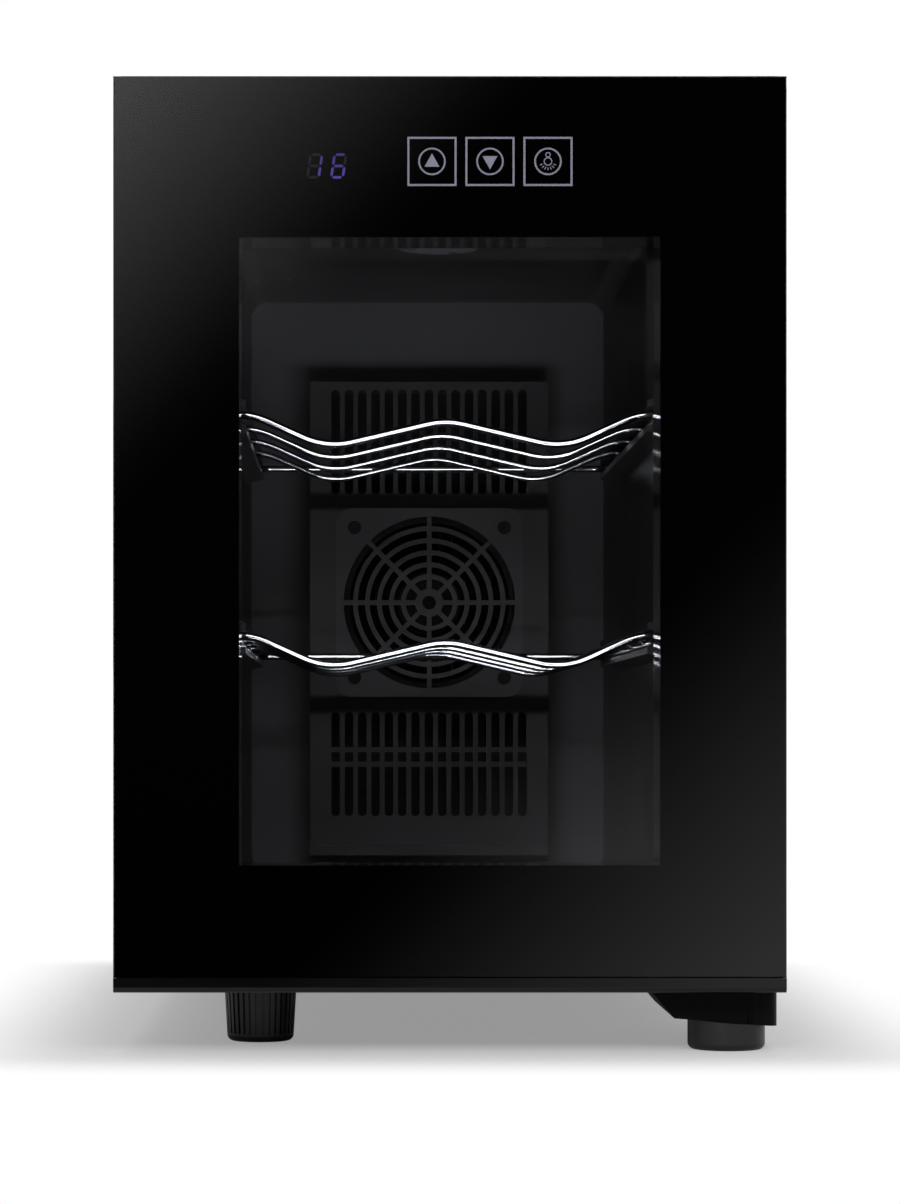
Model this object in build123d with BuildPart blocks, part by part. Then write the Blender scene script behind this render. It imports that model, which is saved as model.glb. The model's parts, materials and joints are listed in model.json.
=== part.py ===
"""A table-top wine cooler for six bottles, built as separate pieces. Millimetres, +Z up, front faces -Y."""

import math
import os
from build123d import *

# Overall size. The origin is on the floor, under the middle of the whole object.
WIDTH = 252.0
DEPTH = 505.0
DOOR_HEIGHT = 343.0
DOOR_CLEAR = 23.0  # floor to the underside of the door

# Door
DOOR_THICKNESS = 38.0
GLASS = 4.0
GLASS_BEVEL = 0.5
FRAME_INSET = 1.0  # glass edge to the frame
FRAME_DROP = 5.0  # glass top to the frame top
FRAME_ROUND = 1.5
TRIM_LIP = 5.6
TRIM_FLOOR = 3.0
TRIM_ROUND = 2.0
WINDOW_SIDE = 47.0  # door edge to the window
WINDOW_BELOW = 47.6  # door underside to the window
WINDOW_ABOVE = 59.8  # window to the door top
PANE = 3.0
PANE_LAP = 6.0
GRIP_LENGTH = 100.0
GRIP_DEPTH = 14.0
GRIP_WALL_FRONT = 4.0
GRIP_WALL_REAR = 8.0
GRIP_RISE = 172.0  # door underside to the middle of the finger grip

# Controls behind the top of the glass
CONTROL_DROP = 33.0  # door top to the middle of the controls
POCKET_DEPTH = 12.0
POCKET_WIDTH = 116.0
POCKET_HEIGHT = 30.0
POCKET_SHIFT = 8.0  # middle of the door to the middle of the pocket
PAD_SIZE = 16.0
PAD_THICKNESS = 1.5
PAD_STEM = 4.0
PAD_PITCH = 21.7
PAD_SHIFT = 15.0  # middle of the door to the middle touch pad
PAD_LIFT = 0.7
PAD_COUNT = 3
DISPLAY_SHIFT = 44.9  # middle of the door to the display
DISPLAY_WIDTH = 26.0
DISPLAY_HEIGHT = 19.0
BOARD_BACK = 7.0  # glass to the control board
BOARD = 1.6
BOARD_MARGIN = 1.0
CHIP_WIDTH = 10.0
CHIP_HEIGHT = 12.0
CHIP_SHIFT = 25.0
STAND_WIDTH = 4.0
STAND_HEIGHT = 16.0
STAND_INSET = 4.0  # pocket wall to the middle of a stand

# Gasket
GASKET_GAP = 9.0
GASKET_FREE = 0.5
GASKET_BULB = 14.0
GASKET_BASE = 8.0
GASKET_STEP = 2.5
GASKET_INSET = 15.0  # door edge to the outside of the gasket
GASKET_CORNER = 20.0

# Cabinet walls
SHEET = 1.0
SHELL_INSET = 1.0  # glass edge to the cabinet side
SHELL_RADIUS = 5.0
SHELL_RETURN = 11.0
CABINET_LIFT = 1.0
CABINET_DROP = 4.0
LINER_WALL = 2.5
FOAM_SIDE = 35.5
FOAM_FLOOR = 26.5
FOAM_CEILING = 27.5
FOAM_REAR = 30.0
CAVITY_RADIUS = 8.0

# Back panel
BACK_PROUD = 2.0  # finger guard and screw heads behind the panel
VENT_SIDE = 61.0  # cabinet side to the ends of the slots
VENT_GAP = 8.0
VENT_WIDTH = 4.0
VENT_PITCH = 9.0
VENT_ROWS = 6
VENT_TOP = 58.0  # cabinet top to the middle of the upper slots
VENT_BOTTOM = 66.0  # cabinet underside to the middle of the lower slots
BACK_SCREW_INSET = 22.0
SCREW_RADIUS = 3.2
SCREW_RISE = 1.6
SCREW_CHAMFER = 0.6
CROSS_SPAN = 3.4
CROSS_WIDTH = 0.9
CROSS_DEPTH = 0.8
FINGER_RIM = 2.0  # fan edge to the edge of the finger guard
FINGER_CORNER = 6.0
FINGER_RIB = 2.4
FINGER_HUB = 12.0
FINGER_EYE = 3.0
FINGER_RING_COUNT = 2
FINGER_SPOKE_COUNT = 6

# Power inlet and board
INLET_SIDE = 41.0  # cabinet side to the middle of the inlet
INLET_RISE = 38.0  # cabinet underside to the middle of the inlet
INLET_WIDTH = 28.0
INLET_HEIGHT = 20.0
INLET_DEPTH = 18.0
INLET_RIM = 3.0
INLET_WALL = 2.0
BLADE_PITCH = 7.0
BLADE_STAGGER = 2.0
BLADE_WIDTH = 2.0
BLADE_HEIGHT = 4.0
BLADE_BACK = 4.0  # panel to the tips of the contacts
POWER_WIDTH = 100.0
POWER_HEIGHT = 60.0
POWER_GAP = 9.8  # board to the hot sink above it
POWER_STAND = 6.0
POWER_INSET = 5.0  # board edge to the middle of a stand
TRANSFORMER_WIDTH = 30.0
TRANSFORMER_HEIGHT = 28.0
TRANSFORMER_DEPTH = 22.0
TRANSFORMER_SHIFT = 5.0
COOLER_WIDTH = 3.0
COOLER_HEIGHT = 42.0
COOLER_SHIFT = 19.5
PART_DEPTH = 20.0  # capacitors and the cooler plate on the board
CAPACITOR_RADIUS = 6.5
CAPACITOR_SHIFT = 34.0
CAPACITOR_RISE = 11.0

# Fans
FAN_DROP = 9.7  # middle of the cavity to the fan axis
FAN_SIZE = 80.0
FAN_DEPTH = 20.0
FAN_RIM = 1.7
FAN_SCREW_INSET = 4.25
FAN_SCREW_HOLE = 2.2
FAN_SEAT = 0.5
MOTOR_PLATE = 3.0
MOTOR_ARM = 4.0
TIP_CLEAR = 0.6
HUB_RADIUS = 15.0
HUB_FRONT = 1.0
HUB_BACK = 4.0
SHAFT_RADIUS = 1.5
SHAFT_LENGTH = 6.0
SHAFT_BACK = 0.3
RUN_CLEAR = 0.05
VANE_COUNT = 7
VANE = 1.4
VANE_CHORD = 18.0
VANE_ROOT_ANGLE = 48.0
VANE_TIP_ANGLE = 30.0

# Air cover and its fan guard
COVER_WALL = 2.2
COVER_WIDTH = 114.0
COVER_FLOOR_GAP = 8.0
COVER_CEILING_GAP = 42.0
COVER_STEP = 6.0
COVER_BEND = 4.0
LEDGE = 7.0
SILL_DEPTH = 7.0
SILL_HEIGHT = 4.5
SLOT_PITCH = 6.4
SLOT_WIDTH = 4.2
SLOT_COUNT = 15
SLOT_END_TOP = 3.8
SLOT_END_LEDGE = 0.2
BAR_DEPTH = 2.0
BAR_HEIGHT = 2.4
BAR_PITCH = 7.0
BAR_INSET = 1.0
GUARD = 2.2
GUARD_RIM_SIDE = 4.7  # fan edge to the edge of the guard
GUARD_RIM_TOP = 5.15
GUARD_CORNER = 8.0
GUARD_LAP = 1.0
GUARD_RIB = 2.2
GUARD_HUB = 6.7
GUARD_EYE = 3.3
GUARD_RING_COUNT = 5
GUARD_SPOKE_COUNT = 8
GUARD_SCREW_RISE = 1.2

# Cooling stack
COLD_INSET = 2.0  # fan edge to the edge of the cold sink
COLD_BASE = 4.0
COLD_FIN = 14.0
COLD_FIN_COUNT = 13
BLOCK_SIZE = 40.0
MODULE = 4.0
MODULE_PLATE = 0.8
MODULE_EDGE = 1.5
HOT_SIZE = 110.0
HOT_BASE = 5.0
HOT_FIN = 22.0
HOT_FIN_COUNT = 18
FIN_THICKNESS = 1.5
EXHAUST_GAP = 4.0
STACK_CLEAR = 0.3

# Ceiling light
LENS_RADIUS = 18.0
LENS_DROP = 5.0
LENS_SKIN = 1.2
LENS_ROUND = 3.0
LENS_RIM = 3.2
LENS_BACK = 186.0  # glass face to the middle of the light
LAMP_BOARD = 1.2
LAMP_CLEAR = 0.8
LAMP_SIZE = 3.0
LAMP_RISE = 1.0
LAMP_CIRCLE = 7.0
LAMP_COUNT = 4

# Hinges
HINGE_INSET = 8.0  # door edge to the hinge axis
HINGE_BACK = 22.0  # glass face to the hinge axis
PIN_RADIUS = 3.0
PIN_CHAMFER = 0.8
PIN_SEAT = 1.0
BUSH_RADIUS = 5.5
BUSH_LENGTH = 14.0
BUSH_END = 2.0
HINGE_CLEAR = 1.0
BARREL_RADIUS = 6.7
ARM_LENGTH = 41.0  # hinge axis to the sloped end of the arm
ARM_SLOPE = 8.5
ARM_FALL = 2.9
ARM_FRONT = 4.5  # hinge axis to the front face of the arm
ARM_BACK = 62.0  # cabinet front to the rear end of the arm
ARM_STEP = 4.0
ARM_PAD_LEFT = 12.0
ARM_PAD_RIGHT = 2.0
PLATE = 2.5
PLATE_BACK = 46.0
PLATE_WIDTH = 34.0
PLATE_SHIFT = 13.0
LOBE_RADIUS = 7.5
LOBE_SHIFT = 3.0
HINGE_SCREW_RADIUS = 3.5
HINGE_SCREW_RISE = 1.2
HINGE_SCREW_PITCH = 18.0
HINGE_SCREW_SHIFT = 15.0
HINGE_SCREW_FRONT = 14.0
HINGE_SCREW_REAR = 12.0

# Feet
FOOT_TOP_RADIUS = 14.2
FOOT_LOW_RADIUS = 13.0
FOOT_ROUND = 2.5
FOOT_SIDE = 53.5  # door edge to the middle of the front left foot
FOOT_BACK = 64.5  # glass face to the middle of the front left foot
FOOT_CLEAR = 1.0
RIB_COUNT = 34
RIB_RISE = 3.2
RIB_DEPTH = 0.8
RIB_WIDTH = 1.0
STUD_RADIUS = 4.0
STUD_CLEAR = 2.0
NUT_RADIUS = 7.0
NUT_LENGTH = 12.0
HINGE_FOOT_SIDE = 20.0
HINGE_FOOT_BACK = 26.5
HINGE_FOOT_RADIUS = 14.7
HINGE_FOOT_HEIGHT = 9.2
REAR_FOOT_RADIUS = 13.0
REAR_FOOT_SIDE = 33.0
REAR_FOOT_FRONT = 40.0
REAR_FOOT_ROUND = 2.0

# Wire shelves, with heights at the flat ends of the wires
LOWER_SHELF_RISE = 104.5  # cavity floor to the lower shelf
UPPER_SHELF_DROP = 86.0  # cavity ceiling to the upper shelf
SHELF_BACK = 65.0  # glass face to the front wire
SHELF_DEPTH = 250.0
BOTTLE_SPREAD = 7.0
PEAK_DROP = 2.2
TROUGH_DROP = 13.1
WAVE_RADIUS = 30.0
END_FLAT = 9.0
FRONT_WIRE = 1.6
WAVE_WIRE = 1.3
FRAME_WIRE = 1.6
FRAME_INSIDE = 2.5  # wire ends to the side wires
FRAME_END = 2.0
FRAME_BEND = 8.0
WIRE_PITCH = 62.0
WIRE_COUNT = 3
WELD = 0.3
SHELF_CLEAR = 1.5  # wire ends to the liner wall
GUIDE_WIDTH = 8.0
GUIDE_WALL = 2.5
GUIDE_SKIN = 0.8
GUIDE_TAPER = 2.0
GUIDE_CLEAR = 0.4
GUIDE_START = 4.0
GUIDE_STOP = 4.0
GUIDE_JOIN = 0.2

# Planes, edges and middles that several pieces share
half = WIDTH / 2
y_front = -DEPTH / 2
y_frame = y_front + GLASS
y_door = y_front + DOOR_THICKNESS
y_cab = y_door + GASKET_GAP
y_shell = y_cab + LINER_WALL
y_rear = DEPTH / 2
y_back = y_rear - BACK_PROUD
y_exhaust = y_back - SHEET - EXHAUST_GAP - FAN_DEPTH
y_hot = y_exhaust - HOT_FIN - HOT_BASE
z_door = DOOR_CLEAR
z_top = DOOR_CLEAR + DOOR_HEIGHT
cab_x = half - SHELL_INSET
cab_z0 = z_door + CABINET_LIFT
cab_z1 = z_top - CABINET_DROP
cab_zm = (cab_z0 + cab_z1) / 2
cab_h = cab_z1 - cab_z0
cav_x = cab_x - SHEET - FOAM_SIDE - LINER_WALL
cav_z0 = cab_z0 + SHEET + FOAM_FLOOR + LINER_WALL
cav_z1 = cab_z1 - SHEET - FOAM_CEILING - LINER_WALL
cav_zm = (cav_z0 + cav_z1) / 2
cav_h = cav_z1 - cav_z0
cav_y = y_hot - SHEET - FOAM_REAR - LINER_WALL
fan_z = cav_zm - FAN_DROP
fan_bore = FAN_SIZE / 2 - FAN_RIM
fan_screws = FAN_SIZE - 2 * FAN_SCREW_INSET
y_fan = cav_y - COLD_BASE - COLD_FIN - STACK_CLEAR - FAN_DEPTH
y_cover = y_fan - FAN_SEAT - COVER_WALL
y_guard = y_cover - GUARD
hinge_x = half - HINGE_INSET
hinge_y = y_front + HINGE_BACK
control_z = z_top - CONTROL_DROP
foot_x = FOOT_SIDE - half
foot_y = y_front + FOOT_BACK
DOWN = (Align.CENTER, Align.CENTER, Align.MAX)
UP = (Align.CENTER, Align.CENTER, Align.MIN)

os.makedirs("parts", exist_ok=True)


def front(y, x=0.0, z=0.0):
    """Drawing plane that faces the front at depth y; its own z runs forward."""
    return Plane(origin=(x, y, z), x_dir=(1, 0, 0), z_dir=(0, -1, 0))


def block(x0, x1, y0, y1, z0, z1, mode=Mode.ADD):
    """A box between two corners."""
    with Locations(((x0 + x1) / 2, (y0 + y1) / 2, (z0 + z1) / 2)):
        Box(x1 - x0, y1 - y0, z1 - z0, mode=mode)


def slab(x, z, width, height, y0, y1, mode=Mode.ADD):
    """A box from its middle seen from the front, between two depths."""
    block(x - width / 2, x + width / 2, y0, y1, z - height / 2, z + height / 2, mode)


def rounded(y, back, w, h, r, z, mode=Mode.ADD):
    """A plate with rounded corners from depth y towards the back."""
    with BuildSketch(front(y)) as face:
        with Locations((0, z)):
            RectangleRounded(w, h, r)
    extrude(face.sketch, amount=-back, mode=mode)


def rod(x, y, z0, z1, r, mode=Mode.ADD):
    """An upright cylinder."""
    with Locations((x, y, z0)):
        Cylinder(r, z1 - z0, align=UP, mode=mode)


def cross_cut(plane, places):
    """Cross slots in the screw heads whose outer faces lie on a plane."""
    with BuildSketch(plane) as cross:
        with Locations(*places):
            Rectangle(CROSS_SPAN, CROSS_WIDTH)
            Rectangle(CROSS_WIDTH, CROSS_SPAN)
    extrude(cross.sketch, amount=-CROSS_DEPTH, mode=Mode.SUBTRACT)


def save(made, name):
    """Names a finished piece and writes its file."""
    made.part.label = name
    export_step(made.part, "parts/" + name + ".step")


# Cabinet: liner, shell, base, foam and the plate behind the foam
wrap = 2 * LINER_WALL
hole = BLOCK_SIZE + 2 * STACK_CLEAR
with BuildPart() as inner_liner:
    rounded(y_cab, LINER_WALL, 2 * cab_x, cab_h, SHELL_RADIUS, cab_zm)
    rounded(y_cab, cav_y + LINER_WALL - y_cab, 2 * cav_x + wrap, cav_h + wrap,
            CAVITY_RADIUS + LINER_WALL, cav_zm)
    rounded(y_cab, cav_y - y_cab, 2 * cav_x, cav_h, CAVITY_RADIUS, cav_zm, Mode.SUBTRACT)
    slab(0, fan_z, hole, hole, cav_y, cav_y + LINER_WALL, Mode.SUBTRACT)
save(inner_liner, "inner_liner")

shell_depth = y_back - SHEET - y_shell
floor_x = cab_x - SHELL_RADIUS
inner_r = SHELL_RADIUS - SHEET
with BuildPart() as outer_shell:
    rounded(y_shell, shell_depth, 2 * cab_x, cab_h, SHELL_RADIUS, cab_zm)
    rounded(y_shell + SHEET, shell_depth - 2 * SHEET, 2 * (cab_x - SHEET), cab_h - 2 * SHEET,
            inner_r, cab_zm, Mode.SUBTRACT)
    rounded(y_shell, shell_depth, 2 * (cab_x - SHELL_RETURN), cab_h - 2 * SHELL_RETURN,
            inner_r, cab_zm, Mode.SUBTRACT)
    block(-floor_x, floor_x, y_shell, y_back, cab_z0, cab_z0 + SHELL_RETURN, Mode.SUBTRACT)
save(outer_shell, "outer_shell")

with BuildPart() as base_pan:
    block(-floor_x, floor_x, y_shell, y_back - SHEET, cab_z0, cab_z0 + SHEET)
    for y in (y_shell, y_back - 2 * SHEET):
        block(-floor_x, floor_x, y, y + SHEET, cab_z0, cab_z0 + SHELL_RETURN)
    rod(foot_x, foot_y, cab_z0, cab_z0 + SHEET, NUT_RADIUS, Mode.SUBTRACT)
save(base_pan, "base_pan")

nut_top = cab_z0 + SHEET + NUT_LENGTH
with BuildPart() as foam_fill:
    rounded(y_shell + SHEET, y_hot - y_shell - 2 * SHEET, 2 * (cab_x - SHEET), cab_h - 2 * SHEET,
            inner_r, cab_zm)
    rounded(y_cab, cav_y + LINER_WALL - y_cab, 2 * cav_x + wrap, cav_h + wrap,
            CAVITY_RADIUS + LINER_WALL, cav_zm, Mode.SUBTRACT)
    slab(0, fan_z, hole, hole, cav_y, y_hot, Mode.SUBTRACT)
    rod(foot_x, foot_y, cab_z0, nut_top, NUT_RADIUS, Mode.SUBTRACT)
save(foam_fill, "foam_fill")

with BuildPart() as foam_plate:
    rounded(y_hot - SHEET, SHEET, 2 * (cab_x - SHEET), cab_h - 2 * SHEET, inner_r, cab_zm)
    slab(0, fan_z, hole, hole, y_hot - SHEET, y_hot, Mode.SUBTRACT)
save(foam_plate, "foam_plate")

# Back panel with its air slots and the hole for the power inlet
inlet_x = INLET_SIDE - cab_x
inlet_z = cab_z0 + INLET_RISE
vent_length = cab_x - VENT_SIDE - VENT_GAP / 2
with BuildPart() as back_panel:
    rounded(y_back - SHEET, SHEET, 2 * cab_x, cab_h, SHELL_RADIUS, cab_zm)
    with BuildSketch(front(y_back - SHEET)):
        with Locations((0, fan_z)):
            Circle(fan_bore)
        with Locations((0, cab_z1 - VENT_TOP), (0, cab_z0 + VENT_BOTTOM)):
            with GridLocations(vent_length + VENT_GAP, VENT_PITCH, 2, VENT_ROWS):
                SlotOverall(vent_length, VENT_WIDTH)
        with Locations((inlet_x, inlet_z)):
            Rectangle(INLET_WIDTH, INLET_HEIGHT)
    extrude(amount=-SHEET, mode=Mode.SUBTRACT)
save(back_panel, "back_panel")

screw_x = cab_x - SHELL_RETURN / 2
screw_rows = (cab_z0 + BACK_SCREW_INSET, cab_zm, cab_z1 - BACK_SCREW_INSET)
back_places = [(x, z) for z in screw_rows for x in (-screw_x, screw_x)]
with BuildPart() as back_screws:
    with BuildSketch(front(y_back)):
        with Locations(*back_places):
            Circle(SCREW_RADIUS)
    extrude(amount=-SCREW_RISE)
    heads = back_screws.faces().sort_by(Axis.Y)[-len(back_places):]
    chamfer(heads.edges(), SCREW_CHAMFER)
    cross_cut(Plane(origin=(0, y_back + SCREW_RISE, 0), x_dir=(-1, 0, 0), z_dir=(0, 1, 0)), back_places)
save(back_screws, "back_screws")


def guard_lattice(y, thick, opening, rib, hub, eye, rings, spokes):
    """Rings, the widest first, and spokes of a fan guard on the fan axis, from depth y towards the back."""
    ring_step = (opening - hub) / (rings + 1)
    with BuildSketch(front(y, 0, fan_z)) as lattice:
        for i in range(rings):
            middle = opening - (i + 1) * ring_step
            Circle(middle + rib / 2)
            Circle(middle - rib / 2, mode=Mode.SUBTRACT)
        with PolarLocations((opening + hub) / 2, spokes):
            Rectangle(opening - hub + rib, rib)
        Circle(hub)
        Circle(eye, mode=Mode.SUBTRACT)
    extrude(lattice.sketch, amount=-thick)


with BuildPart() as exhaust_guard:
    with BuildSketch(front(y_back, 0, fan_z)):
        RectangleRounded(FAN_SIZE + 2 * FINGER_RIM, FAN_SIZE + 2 * FINGER_RIM, FINGER_CORNER)
        Circle(fan_bore, mode=Mode.SUBTRACT)
        with GridLocations(fan_screws, fan_screws, 2, 2):
            Circle(FAN_SCREW_HOLE, mode=Mode.SUBTRACT)
    extrude(amount=-BACK_PROUD)
    guard_lattice(y_back, BACK_PROUD, fan_bore, FINGER_RIB, FINGER_HUB, FINGER_EYE,
                  FINGER_RING_COUNT, FINGER_SPOKE_COUNT)
save(exhaust_guard, "exhaust_guard")


# Fans: a square frame with a motor plate at the back, and a rotor on a shaft
def fan_frame(y):
    """The fixed part of a fan whose front is at depth y."""
    with BuildPart(front(y, 0, fan_z)) as made:
        Box(FAN_SIZE, FAN_SIZE, FAN_DEPTH, align=DOWN)
        Cylinder(fan_bore, FAN_DEPTH, align=DOWN, mode=Mode.SUBTRACT)
        with GridLocations(fan_screws, fan_screws, 2, 2):
            Cylinder(FAN_SCREW_HOLE, FAN_DEPTH, align=DOWN, mode=Mode.SUBTRACT)
        with Locations((0, 0, -FAN_DEPTH)):
            Cylinder(HUB_RADIUS, MOTOR_PLATE, align=UP)
            with PolarLocations((HUB_RADIUS + fan_bore) / 2, 4, 45):
                Box(fan_bore - HUB_RADIUS + FAN_RIM, MOTOR_ARM, MOTOR_PLATE, align=UP)
            Cylinder(SHAFT_RADIUS + RUN_CLEAR, MOTOR_PLATE, align=UP, mode=Mode.SUBTRACT)
    return made


def fan_rotor(y):
    """A hub on its shaft with twisted vanes, trimmed to run inside the frame."""
    tip = fan_bore - TIP_CLEAR
    span = FAN_DEPTH - HUB_FRONT - HUB_BACK
    with BuildPart() as vane:
        for r, angle in ((HUB_RADIUS - VANE, VANE_ROOT_ANGLE), (tip + VANE, VANE_TIP_ANGLE)):
            with BuildSketch(Plane(origin=(r, 0, 0), x_dir=(0, 1, 0), z_dir=(1, 0, 0))):
                Rectangle(VANE_CHORD, VANE, rotation=angle)
        loft()
    with BuildPart(front(y, 0, fan_z)) as made:
        with Locations((0, 0, -HUB_FRONT - span / 2)):
            with PolarLocations(0, VANE_COUNT):
                add(vane.part)
        with Locations((0, 0, -HUB_FRONT)):
            Cylinder(tip, span, align=DOWN, mode=Mode.INTERSECT)
            Cylinder(HUB_RADIUS, span, align=DOWN)
        with Locations((0, 0, SHAFT_BACK - FAN_DEPTH)):
            Cylinder(SHAFT_RADIUS, SHAFT_LENGTH, align=UP)
    return made


for name, y in (("circulation", y_fan), ("exhaust", y_exhaust)):
    save(fan_frame(y), name + "_fan_frame")
    save(fan_rotor(y), name + "_fan_rotor")


# Cooling stack
def heat_sink(size, y0, y1, fin, count):
    """A square plate between two depths, with upright fins; they run forward if fin is negative."""
    slab(0, fan_z, size, size, y0, y1)
    step = (size - FIN_THICKNESS) / (count - 1)
    root = y0 if fin < 0 else y1
    with Locations((0, root + fin / 2, fan_z)):
        with GridLocations(step, step, count, 1):
            Box(FIN_THICKNESS, abs(fin), size)


with BuildPart() as cold_sink:
    heat_sink(FAN_SIZE - 2 * COLD_INSET, cav_y - COLD_BASE, cav_y, -COLD_FIN, COLD_FIN_COUNT)
save(cold_sink, "cold_sink")

with BuildPart() as cold_block:
    slab(0, fan_z, BLOCK_SIZE, BLOCK_SIZE, cav_y, y_hot - MODULE)
save(cold_block, "cold_block")

with BuildPart() as peltier_module:
    for y in (y_hot - MODULE, y_hot - MODULE_PLATE):
        slab(0, fan_z, BLOCK_SIZE, BLOCK_SIZE, y, y + MODULE_PLATE)
    core = BLOCK_SIZE - 2 * MODULE_EDGE
    slab(0, fan_z, core, core, y_hot - MODULE, y_hot)
save(peltier_module, "peltier_module")

with BuildPart() as hot_sink:
    heat_sink(HOT_SIZE, y_hot, y_hot + HOT_BASE, HOT_FIN - STACK_CLEAR, HOT_FIN_COUNT)
save(hot_sink, "hot_sink")

# Air cover inside the cabinet: a folded front on a shallow box, with slots above and below the fan
y_slots = y_cover + COVER_STEP
guard_w = FAN_SIZE + 2 * GUARD_RIM_SIDE
guard_h = FAN_SIZE + 2 * GUARD_RIM_TOP
guard_opening = FAN_SIZE / 2 + GUARD_LAP
ledge_up = fan_z + guard_h / 2
ledge_low = fan_z - guard_h / 2
cover_x = COVER_WIDTH / 2
cover_z0 = cav_z0 + COVER_FLOOR_GAP
cover_z1 = cav_z1 - COVER_CEILING_GAP
slot_low_end = ledge_up + LEDGE + SLOT_END_LEDGE
slot_length = cover_z1 - SLOT_END_TOP - slot_low_end
upper_slots = slot_low_end + slot_length / 2
lower_slots = ledge_low - LEDGE - SLOT_END_LEDGE - slot_length / 2
with BuildPart() as rear_air_cover:
    with BuildSketch(Plane.YZ.offset(-cover_x)):
        with BuildLine():
            Polyline(
                (cav_y, cover_z0), (y_slots - SILL_DEPTH, cover_z0),
                (y_slots - SILL_DEPTH, cover_z0 + SILL_HEIGHT), (y_slots, cover_z0 + SILL_HEIGHT),
                (y_slots, ledge_low - LEDGE), (y_cover, ledge_low), (y_cover, ledge_up),
                (y_slots, ledge_up + LEDGE), (y_slots, cover_z1), (cav_y, cover_z1), close=True)
        make_face()
    extrude(amount=COVER_WIDTH)
    bends = rear_air_cover.edges().filter_by(Axis.X).filter_by_position(
        Axis.Z, ledge_low - LEDGE - COVER_WALL, ledge_up + LEDGE + COVER_WALL)
    fillet(bends, COVER_BEND)
    fold = LEDGE - COVER_WALL / 2
    inside_y = y_slots + COVER_WALL
    seat_y = y_cover + COVER_WALL
    with BuildSketch(Plane.YZ.offset(-cover_x + COVER_WALL)):
        with BuildLine():
            Polyline(
                (cav_y, cover_z0 + COVER_WALL), (inside_y, cover_z0 + COVER_WALL),
                (inside_y, ledge_low - fold), (seat_y, ledge_low - fold + LEDGE),
                (seat_y, ledge_up + fold - LEDGE), (inside_y, ledge_up + fold),
                (inside_y, cover_z1 - COVER_WALL), (cav_y, cover_z1 - COVER_WALL), close=True)
        make_face()
    extrude(amount=COVER_WIDTH - 2 * COVER_WALL, mode=Mode.SUBTRACT)
    with BuildSketch(front(y_cover)):
        with Locations((0, fan_z)):
            Circle(guard_opening)
        with Locations((0, upper_slots), (0, lower_slots)):
            with GridLocations(SLOT_PITCH, SLOT_PITCH, SLOT_COUNT, 1):
                SlotOverall(slot_length, SLOT_WIDTH, rotation=90)
    extrude(amount=y_cover - inside_y, mode=Mode.SUBTRACT)
    bar_x = cover_x - BAR_INSET
    for z in (lower_slots + BAR_PITCH, lower_slots):
        slab(0, z, 2 * bar_x, BAR_HEIGHT, inside_y, inside_y + BAR_DEPTH)
save(rear_air_cover, "rear_air_cover")

with BuildPart() as fan_guard_plate:
    with BuildSketch(front(y_guard, 0, fan_z)):
        RectangleRounded(guard_w, guard_h, GUARD_CORNER)
        Circle(guard_opening, mode=Mode.SUBTRACT)
        with GridLocations(fan_screws, fan_screws, 2, 2):
            Circle(FAN_SCREW_HOLE, mode=Mode.SUBTRACT)
    extrude(amount=-GUARD)
    guard_lattice(y_guard, GUARD, guard_opening, GUARD_RIB, GUARD_HUB, GUARD_EYE,
                  GUARD_RING_COUNT, GUARD_SPOKE_COUNT)
save(fan_guard_plate, "fan_guard_plate")

screw_half = fan_screws / 2
guard_places = [(x, z) for z in (-screw_half, screw_half) for x in (-screw_half, screw_half)]
with BuildPart() as guard_screws:
    for radius, rise in ((SCREW_RADIUS, GUARD_SCREW_RISE), (FAN_SCREW_HOLE, -GUARD)):
        with BuildSketch(front(y_guard, 0, fan_z)):
            with Locations(*guard_places):
                Circle(radius)
        extrude(amount=rise)
    cross_cut(front(y_guard - GUARD_SCREW_RISE, 0, fan_z), guard_places)
save(guard_screws, "guard_screws")

# Power board under the hot sink, and the inlet in the back panel
power_z = fan_z - HOT_SIZE / 2 - POWER_GAP - POWER_HEIGHT / 2
power_top = y_hot + POWER_STAND + BOARD
with BuildPart() as power_board:
    slab(0, power_z, POWER_WIDTH, POWER_HEIGHT, y_hot + POWER_STAND, power_top)
    with Locations((0, y_hot + POWER_STAND / 2, power_z)):
        with Locations(Rotation(90, 0, 0)):
            with GridLocations(POWER_WIDTH - 2 * POWER_INSET, POWER_HEIGHT - 2 * POWER_INSET, 2, 2):
                Box(POWER_STAND, POWER_STAND, POWER_STAND)
    slab(-TRANSFORMER_SHIFT, power_z, TRANSFORMER_WIDTH, TRANSFORMER_HEIGHT,
         power_top, power_top + TRANSFORMER_DEPTH)
    slab(COOLER_SHIFT, power_z, COOLER_WIDTH, COOLER_HEIGHT, power_top, power_top + PART_DEPTH)
    with BuildSketch(front(power_top, 0, power_z)):
        with Locations((-CAPACITOR_SHIFT, -CAPACITOR_RISE), (-CAPACITOR_SHIFT, CAPACITOR_RISE),
                       (CAPACITOR_SHIFT, -CAPACITOR_RISE)):
            Circle(CAPACITOR_RADIUS)
    extrude(amount=-PART_DEPTH)
save(power_board, "power_board")

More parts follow.
